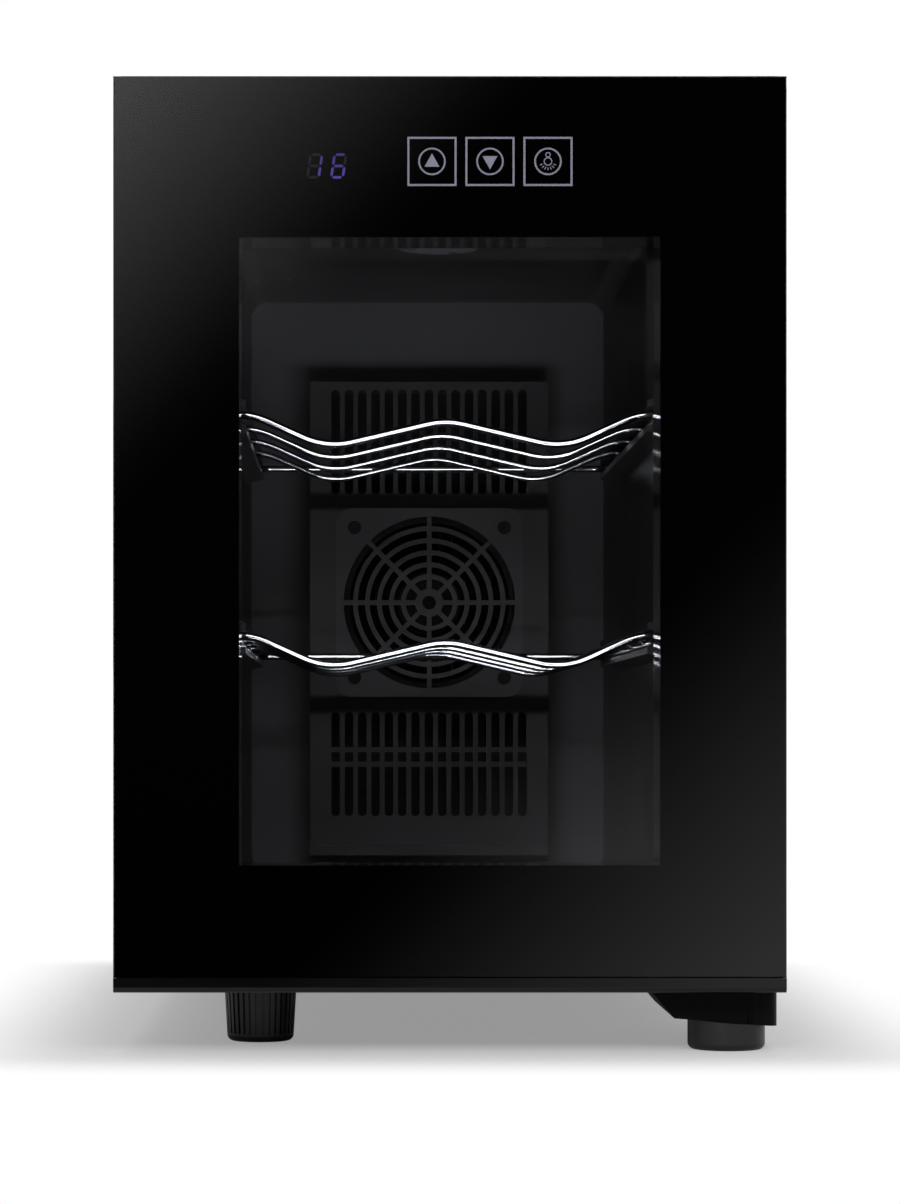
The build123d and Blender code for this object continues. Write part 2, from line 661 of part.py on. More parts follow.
y_panel = y_back - SHEET
with BuildPart() as power_inlet:
    slab(inlet_x, inlet_z, INLET_WIDTH + 2 * INLET_RIM, INLET_HEIGHT + 2 * INLET_RIM,
         y_panel - INLET_WALL, y_panel)
    slab(inlet_x, inlet_z, INLET_WIDTH, INLET_HEIGHT, y_panel - INLET_DEPTH, y_back)
    slab(inlet_x, inlet_z, INLET_WIDTH - 2 * INLET_WALL, INLET_HEIGHT - 2 * INLET_WALL,
         y_panel - INLET_DEPTH + INLET_WALL, y_back, Mode.SUBTRACT)
    for i, rise in ((-1, -BLADE_STAGGER), (0, BLADE_STAGGER), (1, -BLADE_STAGGER)):
        slab(inlet_x + i * BLADE_PITCH, inlet_z + rise, BLADE_WIDTH, BLADE_HEIGHT,
             y_panel - INLET_DEPTH, y_panel - BLADE_BACK)
save(power_inlet, "power_inlet")

# Round light in the ceiling
lens_y = y_front + LENS_BACK
with BuildPart() as light_lens:
    rod(0, lens_y, cav_z1 - LENS_DROP, cav_z1, LENS_RADIUS)
    fillet(light_lens.faces().sort_by(Axis.Z)[0].edges(), LENS_ROUND)
    rod(0, lens_y, cav_z1 - LENS_DROP + LENS_SKIN, cav_z1, LENS_RADIUS - LENS_RIM, Mode.SUBTRACT)
save(light_lens, "light_lens")

with BuildPart() as light_board:
    rod(0, lens_y, cav_z1 - LAMP_BOARD, cav_z1, LENS_RADIUS - LENS_RIM - LAMP_CLEAR)
    with Locations((0, lens_y, cav_z1 - LAMP_BOARD)):
        with PolarLocations(LAMP_CIRCLE, LAMP_COUNT):
            Box(LAMP_SIZE, LAMP_SIZE, LAMP_RISE, align=DOWN)
save(light_board, "light_board")

# Hinge hardware on the cabinet
arm_z1 = z_door - HINGE_CLEAR
arm_z0 = HINGE_FOOT_HEIGHT
arm_x0 = hinge_x - ARM_LENGTH
arm_x1 = hinge_x + BARREL_RADIUS
arm_y0 = hinge_y - ARM_FRONT
arm_y1 = y_cab + ARM_BACK


def hinge_arm(y0, y1, mode=Mode.ADD):
    """The arm's section, with a sloped end and an underside that falls towards the hinge."""
    with BuildSketch(front(y0)) as section:
        with BuildLine():
            Polyline((arm_x0, arm_z1), (arm_x1, arm_z1), (arm_x1, arm_z0),
                     (arm_x0 + ARM_SLOPE, arm_z0 + ARM_FALL), close=True)
        make_face()
    extrude(section.sketch, amount=y0 - y1, mode=mode)


with BuildPart() as lower_hinge_bracket:
    hinge_arm(hinge_y - BARREL_RADIUS, arm_y1)
    with BuildSketch(Plane.XY.offset(arm_z0)):
        with Locations(((arm_x0 + hinge_x) / 2, (arm_y0 + arm_y1) / 2)):
            Rectangle(hinge_x - arm_x0, arm_y1 - arm_y0)
        with Locations(((arm_x0 + arm_x1) / 2, (hinge_y + arm_y1) / 2)):
            Rectangle(arm_x1 - arm_x0, arm_y1 - hinge_y)
        with Locations((hinge_x, hinge_y)):
            Circle(BARREL_RADIUS)
    extrude(amount=arm_z1 - arm_z0, mode=Mode.INTERSECT)
    block(arm_x0 + ARM_PAD_LEFT, arm_x1 - ARM_PAD_RIGHT, y_shell + ARM_STEP, arm_y1, arm_z1, cab_z0)
    rod(hinge_x, hinge_y, arm_z0 + PIN_SEAT, arm_z1, PIN_RADIUS, Mode.SUBTRACT)
save(lower_hinge_bracket, "lower_hinge_bracket")

frame_z0 = z_door + TRIM_FLOOR
frame_z1 = z_top - FRAME_DROP
with BuildPart() as lower_hinge_pin:
    rod(hinge_x, hinge_y, arm_z0 + PIN_SEAT, z_door + BUSH_LENGTH, PIN_RADIUS)
    chamfer(lower_hinge_pin.faces().sort_by(Axis.Z)[-1].edges(), PIN_CHAMFER)
save(lower_hinge_pin, "lower_hinge_pin")

plate_y1 = y_cab + PLATE_BACK
with BuildPart() as upper_hinge_bracket:
    with BuildSketch(Plane.XY.offset(cab_z1)):
        with Locations((hinge_x, hinge_y)):
            Circle(LOBE_RADIUS)
        with Locations((hinge_x - LOBE_SHIFT, (hinge_y + plate_y1) / 2)):
            Rectangle(2 * LOBE_RADIUS, plate_y1 - hinge_y)
        with Locations((hinge_x - PLATE_SHIFT, (y_shell + plate_y1) / 2)):
            Rectangle(PLATE_WIDTH, plate_y1 - y_shell)
    extrude(amount=PLATE)
    rod(hinge_x, hinge_y, cab_z1, cab_z1 + PLATE, PIN_RADIUS, Mode.SUBTRACT)
save(upper_hinge_bracket, "upper_hinge_bracket")

with BuildPart() as upper_hinge_pin:
    rod(hinge_x, hinge_y, frame_z1 - BUSH_LENGTH + PIN_SEAT, cab_z1 + PLATE, PIN_RADIUS)
    chamfer(upper_hinge_pin.faces().sort_by(Axis.Z)[0].edges(), PIN_CHAMFER)
save(upper_hinge_pin, "upper_hinge_pin")

plate_z1 = cab_z1 + PLATE
hinge_places = [(hinge_x - HINGE_SCREW_SHIFT + side * HINGE_SCREW_PITCH / 2, y)
                for y in (y_shell + HINGE_SCREW_FRONT, plate_y1 - HINGE_SCREW_REAR) for side in (-1, 1)]
with BuildPart() as hinge_screws:
    for x, y in hinge_places:
        rod(x, y, plate_z1, plate_z1 + HINGE_SCREW_RISE, HINGE_SCREW_RADIUS)
    cross_cut(Plane.XY.offset(plate_z1 + HINGE_SCREW_RISE), hinge_places)
save(hinge_screws, "hinge_screws")

# Feet
hinge_foot_x = half - HINGE_FOOT_SIDE
hinge_foot_y = y_front + HINGE_FOOT_BACK
with BuildPart() as hinge_foot:
    rod(hinge_foot_x, hinge_foot_y, 0, arm_z0 + ARM_FALL, HINGE_FOOT_RADIUS)
    fillet(hinge_foot.faces().sort_by(Axis.Z)[0].edges(), FOOT_ROUND)
    hinge_arm(hinge_foot_y - HINGE_FOOT_RADIUS, hinge_foot_y + HINGE_FOOT_RADIUS, Mode.SUBTRACT)
save(hinge_foot, "hinge_foot")

stud_top = nut_top - STUD_CLEAR
foot_top = cab_z0 - FOOT_CLEAR
foot_lean = math.degrees(math.atan2(FOOT_TOP_RADIUS - FOOT_LOW_RADIUS, foot_top - FOOT_ROUND))
with BuildPart() as levelling_foot:
    with BuildSketch(front(foot_y, foot_x)):
        with BuildLine():
            Polyline((0, 0), (FOOT_LOW_RADIUS - FOOT_ROUND, 0))
            RadiusArc((FOOT_LOW_RADIUS - FOOT_ROUND, 0), (FOOT_LOW_RADIUS, FOOT_ROUND), -FOOT_ROUND)
            Polyline((FOOT_LOW_RADIUS, FOOT_ROUND), (FOOT_TOP_RADIUS, foot_top), (STUD_RADIUS, foot_top),
                     (STUD_RADIUS, stud_top), (0, stud_top), (0, 0))
        make_face()
    revolve(axis=Axis((foot_x, foot_y, 0), (0, 0, 1)))
    with Locations((foot_x, foot_y, RIB_RISE)):
        with PolarLocations(FOOT_LOW_RADIUS, RIB_COUNT):
            Box(2 * RIB_DEPTH, RIB_WIDTH, foot_top, (0, foot_lean, 0), UP, Mode.SUBTRACT)
save(levelling_foot, "levelling_foot")

with BuildPart() as levelling_nut:
    rod(foot_x, foot_y, cab_z0, nut_top, NUT_RADIUS)
    rod(foot_x, foot_y, cab_z0, nut_top, STUD_RADIUS + RUN_CLEAR, Mode.SUBTRACT)
save(levelling_nut, "levelling_nut")

rear_foot_x = cab_x - REAR_FOOT_SIDE
with BuildPart() as rear_feet:
    for x in (-rear_foot_x, rear_foot_x):
        rod(x, y_back - REAR_FOOT_FRONT, 0, cab_z0, REAR_FOOT_RADIUS)
    fillet(rear_feet.faces().sort_by(Axis.Z)[0:2].edges(), REAR_FOOT_ROUND)
save(rear_feet, "rear_feet")

# Door
glass_z0 = z_door + TRIM_LIP
with BuildPart() as front_glass:
    block(-half, half, y_front, y_frame, glass_z0, z_top)
    chamfer(front_glass.faces().sort_by(Axis.Y)[0].edges(), GLASS_BEVEL)
save(front_glass, "front_glass")

frame_x = half - FRAME_INSET
win_x = half - WINDOW_SIDE
win_z0 = z_door + WINDOW_BELOW
win_z1 = z_top - WINDOW_ABOVE
pane_x = win_x + PANE_LAP
pane_box = (-pane_x, pane_x, y_door - PANE, y_door, win_z0 - PANE_LAP, win_z1 + PANE_LAP)
grip_z = z_door + GRIP_RISE
bush_z1 = z_door + BUSH_LENGTH + BUSH_END
with BuildPart() as door_frame:
    block(-frame_x, frame_x, y_frame, y_door, frame_z0, frame_z1)
    fillet(door_frame.faces().sort_by(Axis.Y)[-1].edges(), FRAME_ROUND)
    block(-win_x, win_x, y_frame, y_door, win_z0, win_z1, Mode.SUBTRACT)
    block(*pane_box, Mode.SUBTRACT)
    slab(-POCKET_SHIFT, control_z, POCKET_WIDTH, POCKET_HEIGHT,
         y_frame, y_frame + POCKET_DEPTH, Mode.SUBTRACT)
    block(-frame_x, GRIP_DEPTH - frame_x, y_frame + GRIP_WALL_FRONT, y_door - GRIP_WALL_REAR,
          grip_z - GRIP_LENGTH / 2, grip_z + GRIP_LENGTH / 2, Mode.SUBTRACT)
    rod(hinge_x, hinge_y, frame_z0, bush_z1, BUSH_RADIUS, Mode.SUBTRACT)
    rod(hinge_x, hinge_y, frame_z1 - BUSH_LENGTH, frame_z1, BUSH_RADIUS, Mode.SUBTRACT)
save(door_frame, "door_frame")

with BuildPart() as door_bottom_trim:
    block(-half, half, y_front, y_frame, z_door, glass_z0)
    low_edge = door_bottom_trim.edges().filter_by(Axis.X).group_by(Axis.Y)[0].sort_by(Axis.Z)[0]
    fillet(low_edge, TRIM_ROUND)
    block(-frame_x, frame_x, y_frame, y_door, z_door, frame_z0)
    rod(hinge_x, hinge_y, z_door, frame_z0, BUSH_RADIUS, Mode.SUBTRACT)
save(door_bottom_trim, "door_bottom_trim")

with BuildPart() as inner_pane:
    block(*pane_box)
save(inner_pane, "inner_pane")

with BuildPart() as lower_hinge_bush:
    rod(hinge_x, hinge_y, z_door, bush_z1, BUSH_RADIUS)
    rod(hinge_x, hinge_y, z_door, bush_z1 - BUSH_END / 2, PIN_RADIUS + RUN_CLEAR, Mode.SUBTRACT)
save(lower_hinge_bush, "lower_hinge_bush")

with BuildPart() as upper_hinge_bush:
    rod(hinge_x, hinge_y, frame_z1 - BUSH_LENGTH, frame_z1, BUSH_RADIUS)
    rod(hinge_x, hinge_y, frame_z1 - BUSH_LENGTH, frame_z1, PIN_RADIUS + RUN_CLEAR, Mode.SUBTRACT)
save(upper_hinge_bush, "upper_hinge_bush")

gasket_x = half - GASKET_INSET
gasket_h = cab_h / 2 - GASKET_INSET + SHELL_INSET
neck = (GASKET_BULB - GASKET_BASE) / 2
bulb_depth = GASKET_GAP - GASKET_FREE - GASKET_STEP
with BuildPart() as door_gasket:
    for y, back, outer in ((y_door, GASKET_STEP, neck), (y_door + GASKET_STEP, bulb_depth, 0)):
        inner = GASKET_BULB - outer
        with BuildSketch(front(y)):
            with Locations((0, cab_zm)):
                RectangleRounded(2 * (gasket_x - outer), 2 * (gasket_h - outer), GASKET_CORNER - outer)
                RectangleRounded(2 * (gasket_x - inner), 2 * (gasket_h - inner), GASKET_CORNER - inner,
                                 mode=Mode.SUBTRACT)
        extrude(amount=-back)
save(door_gasket, "door_gasket")

# Controls behind the top of the glass
y_board = y_frame + BOARD_BACK
pad_z = control_z + PAD_LIFT
with BuildPart() as touch_pads:
    for i in range(PAD_COUNT):
        x = PAD_SHIFT + (i - (PAD_COUNT - 1) / 2) * PAD_PITCH
        slab(x, pad_z, PAD_SIZE, PAD_SIZE, y_frame, y_frame + PAD_THICKNESS)
        slab(x, pad_z, PAD_STEM, PAD_STEM, y_frame + PAD_THICKNESS, y_board)
save(touch_pads, "touch_pads")

with BuildPart() as display_module:
    slab(-DISPLAY_SHIFT, control_z, DISPLAY_WIDTH, DISPLAY_HEIGHT, y_frame, y_board)
save(display_module, "display_module")

with BuildPart() as control_board:
    slab(-POCKET_SHIFT, control_z, POCKET_WIDTH - 2 * BOARD_MARGIN, POCKET_HEIGHT - 2 * BOARD_MARGIN,
         y_board, y_board + BOARD)
    slab(-CHIP_SHIFT, control_z, CHIP_WIDTH, CHIP_HEIGHT, y_board + BOARD, y_frame + POCKET_DEPTH)
    stand_x = POCKET_WIDTH / 2 - STAND_INSET
    for x in (-POCKET_SHIFT - stand_x, -POCKET_SHIFT + stand_x):
        slab(x, control_z, STAND_WIDTH, STAND_HEIGHT, y_board + BOARD, y_frame + POCKET_DEPTH)
save(control_board, "control_board")

# Shelves: a bent frame wire, a thick wavy front wire and thinner wavy wires behind it
shelf_x = cav_x - SHELF_CLEAR
side_x = shelf_x - FRAME_INSIDE
shelf_y = y_front + SHELF_BACK
bow_y = shelf_y + SHELF_DEPTH
trough_x = (cav_x + BOTTLE_SPREAD) / 2
flat_x = shelf_x - END_FLAT


def wave(y, end_z, r):
    """One wavy wire across the shelf, with flat ends on the frame wire."""
    with BuildLine(front(y)) as path:
        FilletPolyline(
            (-shelf_x, end_z), (-flat_x, end_z), (-trough_x, end_z - TROUGH_DROP), (0, end_z - PEAK_DROP),
            (trough_x, end_z - TROUGH_DROP), (flat_x, end_z), (shelf_x, end_z), radius=WAVE_RADIUS)
    with BuildSketch(Plane(origin=(-shelf_x, y, end_z), x_dir=(0, 1, 0), z_dir=(1, 0, 0))) as disc:
        Circle(r)
    sweep(disc.sketch, path=path.line)


def shelf_guide(sign, low, high):
    """A channel on the liner wall that carries one side of a shelf, with a stop at its rear end."""
    wall = sign * cav_x
    lip = sign * (cav_x - GUIDE_WIDTH)
    groove = sign * (cav_x - GUIDE_SKIN)
    stop_y = bow_y + FRAME_WIRE + GUIDE_CLEAR
    start_y = y_cab + GUIDE_START
    with BuildPart() as made:
        with BuildSketch(front(start_y)):
            with BuildLine():
                Polyline(
                    (wall, low - GUIDE_WALL - GUIDE_TAPER), (lip, low - GUIDE_WALL), (lip, low),
                    (groove, low), (groove, high), (lip, high), (lip, high + GUIDE_WALL),
                    (wall, high + GUIDE_WALL + GUIDE_TAPER), close=True)
            make_face()
        extrude(amount=start_y - stop_y - GUIDE_STOP)
        x0, x1 = sorted((lip, groove + sign * GUIDE_JOIN))
        block(x0, x1, stop_y, stop_y + GUIDE_STOP, low - GUIDE_JOIN, high + GUIDE_JOIN)
    return made


for level, end_z in (("lower", cav_z0 + LOWER_SHELF_RISE), ("upper", cav_z1 - UPPER_SHELF_DROP)):
    rail_z = end_z - FRONT_WIRE - FRAME_WIRE + WELD
    rail_y = shelf_y - FRAME_END
    with BuildPart() as shelf_frame:
        with BuildLine(Plane.XY.offset(rail_z)) as bow:
            FilletPolyline((-side_x, rail_y), (-side_x, bow_y), (side_x, bow_y), (side_x, rail_y),
                           radius=FRAME_BEND)
        with BuildSketch(Plane(origin=(-side_x, rail_y, rail_z), x_dir=(1, 0, 0), z_dir=(0, 1, 0))):
            Circle(FRAME_WIRE)
        sweep(path=bow.line)
    save(shelf_frame, level + "_shelf_frame")
    with BuildPart() as front_wire:
        wave(shelf_y, end_z, FRONT_WIRE)
    save(front_wire, level + "_shelf_front_wire")
    with BuildPart() as wires:
        for i in range(WIRE_COUNT):
            wave(shelf_y + (i + 1) * WIRE_PITCH, rail_z + FRAME_WIRE + WAVE_WIRE - WELD, WAVE_WIRE)
    save(wires, level + "_shelf_wires")
    guide_low = rail_z - FRAME_WIRE - GUIDE_CLEAR
    guide_high = end_z + FRONT_WIRE + GUIDE_CLEAR
    for side, sign in (("left", -1), ("right", 1)):
        save(shelf_guide(sign, guide_low, guide_high), level + "_" + side + "_guide")
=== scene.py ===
"""Looks of the wine cooler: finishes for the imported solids, printed glass, display, lights and camera."""

import json
import math
import bmesh
import bpy
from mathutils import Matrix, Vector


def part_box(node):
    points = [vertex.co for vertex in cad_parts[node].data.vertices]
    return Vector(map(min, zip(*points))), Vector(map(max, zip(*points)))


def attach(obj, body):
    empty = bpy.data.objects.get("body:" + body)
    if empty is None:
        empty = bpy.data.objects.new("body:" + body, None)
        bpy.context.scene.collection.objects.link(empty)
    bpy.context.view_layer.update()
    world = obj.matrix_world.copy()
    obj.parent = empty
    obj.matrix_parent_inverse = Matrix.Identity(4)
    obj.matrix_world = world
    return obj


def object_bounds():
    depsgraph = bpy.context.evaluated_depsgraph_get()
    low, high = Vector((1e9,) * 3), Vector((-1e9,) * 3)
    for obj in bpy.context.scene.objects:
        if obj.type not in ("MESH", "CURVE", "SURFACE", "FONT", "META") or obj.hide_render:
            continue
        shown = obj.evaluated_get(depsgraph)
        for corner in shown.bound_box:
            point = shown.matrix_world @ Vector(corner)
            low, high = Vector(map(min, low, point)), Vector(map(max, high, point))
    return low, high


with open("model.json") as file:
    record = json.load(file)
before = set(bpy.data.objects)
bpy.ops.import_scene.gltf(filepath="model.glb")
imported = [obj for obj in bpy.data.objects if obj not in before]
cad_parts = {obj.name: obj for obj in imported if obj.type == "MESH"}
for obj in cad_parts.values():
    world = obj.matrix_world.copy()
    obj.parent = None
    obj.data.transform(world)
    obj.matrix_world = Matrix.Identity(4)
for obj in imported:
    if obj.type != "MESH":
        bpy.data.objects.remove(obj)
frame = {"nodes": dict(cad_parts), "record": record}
cad_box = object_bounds()
nodes = frame["nodes"]
scene = bpy.context.scene
MM = 0.001

# Photograph: pixels of a 900 by 1204 frame, and the camera that was worked out from it
PHOTO_WIDTH = 900
PHOTO_HEIGHT = 1204
FOCAL_PIXELS = 3610
AXIS_PIXEL = (355, 735)
CAMERA_BACK = 1.35  # metres in front of the glass
CAMERA_X = -0.0355
CAMERA_Z = 0.1195
SENSOR = 36.0

# Places taken from the frame
glass_low, glass_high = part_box("front_glass")
pane_low, pane_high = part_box("inner_pane")
pads_low, pads_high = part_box("touch_pads")
display_low, display_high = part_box("display_module")
liner_low, liner_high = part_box("inner_liner")
cover_low, cover_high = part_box("rear_air_cover")
GLASS_FRONT = glass_low[1]
PANE_LAP = 6.0 * MM
WINDOW = (pane_low[0] + PANE_LAP, pane_high[0] - PANE_LAP, pane_low[2] + PANE_LAP, pane_high[2] - PANE_LAP)

# Spans and levels that the finishes share
NARROW = (0.35, 0.65)  # span of a texture value that holds most of it
WIDE = (0.2, 0.8)  # span of a texture value that leaves no flat patches
WHOLE = (0.0, 1.0)
EVEN = (1.0, 1.0, 1.0)  # a texture that runs alike along X, Y and Z
PLAIN_MIRROR = 0.5  # the shader's own specular level


class Surface:
    """A material with a Principled shader, and short calls that add nodes to it."""

    def __init__(self, name, colour, rough, metal=0.0):
        self.mat = bpy.data.materials.new(name)
        self.mat.use_nodes = True
        self.tree = self.mat.node_tree
        self.shader = self.tree.nodes["Principled BSDF"]
        self.output = self.tree.nodes["Material Output"]
        self.shader.inputs["Base Color"].default_value = (*colour, 1.0)
        self.shader.inputs["Roughness"].default_value = rough
        self.shader.inputs["Metallic"].default_value = metal

    def node(self, kind, **settings):
        made = self.tree.nodes.new(kind)
        for key, value in settings.items():
            setattr(made, key, value)
        return made

    def link(self, source, target):
        self.tree.links.new(source, target)

    def place(self, stretch=EVEN):
        """Object coordinates in metres, stretched along the axes."""
        coords = self.node("ShaderNodeTexCoord")
        mapping = self.node("ShaderNodeMapping")
        mapping.inputs["Scale"].default_value = stretch
        self.link(coords.outputs["Object"], mapping.inputs["Vector"])
        return mapping.outputs["Vector"]

    def noise(self, scale, detail=3.0, stretch=EVEN):
        made = self.node("ShaderNodeTexNoise")
        made.inputs["Scale"].default_value = scale
        made.inputs["Detail"].default_value = detail
        self.link(self.place(stretch), made.inputs["Vector"])
        return made.outputs["Fac"]

    def cells(self, scale):
        made = self.node("ShaderNodeTexVoronoi")
        made.inputs["Scale"].default_value = scale
        self.link(self.place(), made.inputs["Vector"])
        return made.outputs["Distance"]

    def axes(self):
        """Object coordinates in metres, one output for each axis."""
        made = self.node("ShaderNodeSeparateXYZ")
        self.link(self.place(), made.inputs["Vector"])
        return made.outputs

    def spread(self, source, low, high, span=NARROW, ease="LINEAR"):
        """Maps a span of a value to a range."""
        made = self.node("ShaderNodeMapRange", interpolation_type=ease)
        for key, value in (("From Min", span[0]), ("From Max", span[1]), ("To Min", low), ("To Max", high)):
            made.inputs[key].default_value = value
        self.link(source, made.inputs["Value"])
        return made.outputs["Result"]

    def within(self, source, low, high):
        """1 where a value lies between two limits, else 0."""
        made = self.node("ShaderNodeMath", operation="COMPARE")
        self.link(source, made.inputs[0])
        made.inputs[1].default_value = (low + high) / 2
        made.inputs[2].default_value = (high - low) / 2
        return made.outputs["Value"]

    def product(self, first, second):
        made = self.node("ShaderNodeMath", operation="MULTIPLY")
        self.link(first, made.inputs[0])
        self.link(second, made.inputs[1])
        return made.outputs["Value"]

    def tint(self, source, first, second, span=NARROW):
        """Runs the base colour between two colours."""
        ramp = self.node("ShaderNodeValToRGB")
        for stop, position, colour in zip(ramp.color_ramp.elements, span, (first, second)):
            stop.position = position
            stop.color = (*colour, 1.0)
        self.link(source, ramp.inputs["Fac"])
        self.link(ramp.outputs["Color"], self.shader.inputs["Base Color"])
        return self

    def rough(self, source, low, high, span=NARROW):
        self.link(self.spread(source, low, high, span), self.shader.inputs["Roughness"])
        return self

    def bump(self, source, depth, strength=1.0):
        """Raises the surface by a depth in metres; calls add up."""
        made = self.node("ShaderNodeBump")
        made.inputs["Distance"].default_value = depth
        made.inputs["Strength"].default_value = strength
        self.link(source, made.inputs["Height"])
        normal = self.shader.inputs["Normal"]
        if normal.is_linked:
            self.link(normal.links[0].from_socket, made.inputs["Normal"])
        self.link(made.outputs["Normal"], normal)
        return self

    def socket(self, name, value):
        self.shader.inputs[name].default_value = value
        return self


def shades(colour, factors):
    """A colour made darker and lighter."""
    return [tuple(channel * factor for channel in colour) for factor in factors]


# Finishes
INK_BLACK = (0.0006, 0.0006, 0.0007)
INK_GREY = (0.18, 0.18, 0.225)
# painted light: the printed marks glow a little though nothing lights them
INK_PAINTED_GLOW = 0.25
LIT_VIOLET = (0.040, 0.030, 0.14)
LIT_TOP = 0.25  # glow at the top of the figures, as a share of that at their foot
UNLIT_GREY = (0.015, 0.015, 0.017)
GLASS_INDEX = 1.5
DUST = 0.0015  # share of light that specks on the glass throw back
DUST_SPAN = (0.62, 0.8)
SLOW_SCALE = 22.0  # slow changes of gloss over moulded plastic
SLOW_DETAIL = 3.0
GRAIN_STRENGTH = 0.6
MOULDED_TONES = (0.92, 1.08)  # factors on a colour at its darkest and its lightest
METAL_TONES = (0.86, 1.08)
INK_TONES = (0.8, 1.15)
LINER_TONES = (0.94, 1.06)
LINER_RIM = (0.026, 0.026, 0.027)
LINER_WALL = (0.033, 0.0333, 0.035)
# painted light: the rear wall is much paler than the side walls of the same plastic, standing in for light
# on it
LINER_REAR_PAINTED_LIGHT = (0.155, 0.156, 0.163)
LINER_ROUGH = (0.27, 0.32)
LINER_MIRROR = 0.22
RIM_END = 0.035  # shares of the liner's depth
WALL_START = 0.06
WALL_END = 0.955
REAR_START = 0.985
COVERED_PAINTED_SHADE = 0.12  # share of its colour that the rear wall keeps behind the air cover: painted shade


def moulded(name, colour, grain, depth, rough, mirror=PLAIN_MIRROR):
    """Moulded plastic: fine spark-eroded grain, and slow changes of tone and gloss."""
    made = Surface(name, colour, rough[1])
    fine = made.noise(grain, detail=2.0)
    slow = made.noise(SLOW_SCALE, SLOW_DETAIL)
    made.tint(slow, *shades(colour, MOULDED_TONES), WIDE)
    made.rough(slow, *rough, WIDE)
    made.bump(fine, depth, GRAIN_STRENGTH)
    made.socket("Specular IOR Level", mirror)
    return made.mat


def liner_styrene():
    """Formed liner: darker at the front rim, dark walls, a rear wall made paler as painted light, and
    painted shade that makes the rear wall black behind its cover.
    """
    made = Surface("liner_styrene", LINER_WALL, 0.3)
    slow = made.noise(SLOW_SCALE, SLOW_DETAIL)
    axes = made.axes()
    ramp = made.node("ShaderNodeValToRGB")
    stops = ramp.color_ramp.elements
    stops[0].color = (*LINER_RIM, 1.0)
    stops[1].color = (*LINER_REAR_PAINTED_LIGHT, 1.0)
    for position, colour in ((RIM_END, LINER_RIM), (WALL_START, LINER_WALL),
                             (WALL_END, LINER_WALL), (REAR_START, LINER_REAR_PAINTED_LIGHT)):
        stops.new(position).color = (*colour, 1.0)
    made.link(made.spread(axes["Y"], *WHOLE, (liner_low[1], liner_high[1])), ramp.inputs["Fac"])
    # painted shade: the rear wall is darkened where the air cover stands in front of it
    painted_shade_behind_cover = made.product(made.within(axes["X"], cover_low[0], cover_high[0]),
                           made.within(axes["Z"], cover_low[2], cover_high[2]))
    level = made.product(made.spread(slow, *LINER_TONES, WIDE), made.spread(painted_shade_behind_cover, 1.0, COVERED_PAINTED_SHADE, WHOLE))
    vary = made.node("ShaderNodeVectorMath", operation="SCALE")
    made.link(ramp.outputs["Color"], vary.inputs[0])
    made.link(level, vary.inputs["Scale"])
    made.link(vary.outputs["Vector"], made.shader.inputs["Base Color"])
    made.rough(slow, *LINER_ROUGH, WIDE)
    made.bump(made.noise(scale=1100.0, detail=2.0), depth=0.03 * MM, strength=GRAIN_STRENGTH)
    made.socket("Specular IOR Level", LINER_MIRROR)
    return made.mat


def powder_coat():
    """Black powder paint on steel sheet: orange-peel skin with small pits, and slow changes of tone."""
    made = Surface("black_powder_coat", (0.008, 0.008, 0.009), 0.55)
    peel = made.noise(scale=900.0, detail=2.0)
    pits = made.cells(scale=1600.0)
    slow = made.noise(scale=14.0, detail=5.0)
    made.tint(slow, (0.0075, 0.0075, 0.008), (0.0095, 0.0095, 0.010))
    made.rough(peel, 0.48, 0.62)
    made.bump(pits, depth=0.04 * MM, strength=0.5)
    made.bump(peel, depth=0.06 * MM, strength=0.6)
    made.socket("Specular IOR Level", 0.3)
    return made.mat


def gloss_black():
    """Polished black door plastic with hairline scratches and a little haze."""
    made = Surface("gloss_black_plastic", (0.003, 0.003, 0.0035), 0.06)
    lines = made.noise(scale=180.0, detail=6.0, stretch=(1.0, 1.0, 14.0))
    haze = made.noise(scale=30.0, detail=4.0)
    made.tint(haze, (0.0025, 0.0025, 0.003), (0.0035, 0.0035, 0.004))
    made.rough(lines, 0.03, 0.06)
    made.bump(lines, depth=0.01 * MM, strength=0.35)
    made.socket("Specular IOR Level", 0.35)
    return made.mat


def rubber():
    """Door seal: soft black rubber with talc bloom and a fine moulding grain."""
    made = Surface("seal_rubber", (0.014, 0.014, 0.014), 0.75)
    bloom = made.noise(scale=60.0, detail=5.0)
    grain = made.noise(scale=1400.0, detail=2.0)
    made.tint(bloom, (0.010, 0.010, 0.010), (0.026, 0.026, 0.027))
    made.rough(bloom, 0.62, 0.85)
    made.bump(grain, depth=0.04 * MM, strength=0.6)
    return made.mat


def drawn_metal(name, colour, rough, stretch, scale):
    """Rolled, drawn or extruded metal: fine lines along one direction and cloudy reflections."""
    made = Surface(name, colour, rough[0], metal=1.0)
    lines = made.noise(scale, detail=5.0, stretch=stretch)
    cloud = made.noise(scale=40.0, detail=4.0)
    made.tint(cloud, *shades(colour, METAL_TONES))
    made.rough(lines, *rough)
    made.bump(lines, depth=0.02 * MM, strength=0.3)
    return made.mat


def chrome():
    """Bright plated wire with faint ripples left by drawing and plating."""
    made = Surface("chrome_wire", (0.82, 0.83, 0.87), 0.08, metal=1.0)
    ripple = made.noise(scale=420.0, detail=3.0, stretch=(1.0, 4.0, 4.0))
    haze = made.noise(scale=70.0, detail=4.0)
    made.tint(haze, (0.76, 0.77, 0.81), (0.88, 0.89, 0.93))
    made.rough(haze, 0.05, 0.16)
    made.bump(ripple, depth=0.03 * MM, strength=0.25)
    return made.mat


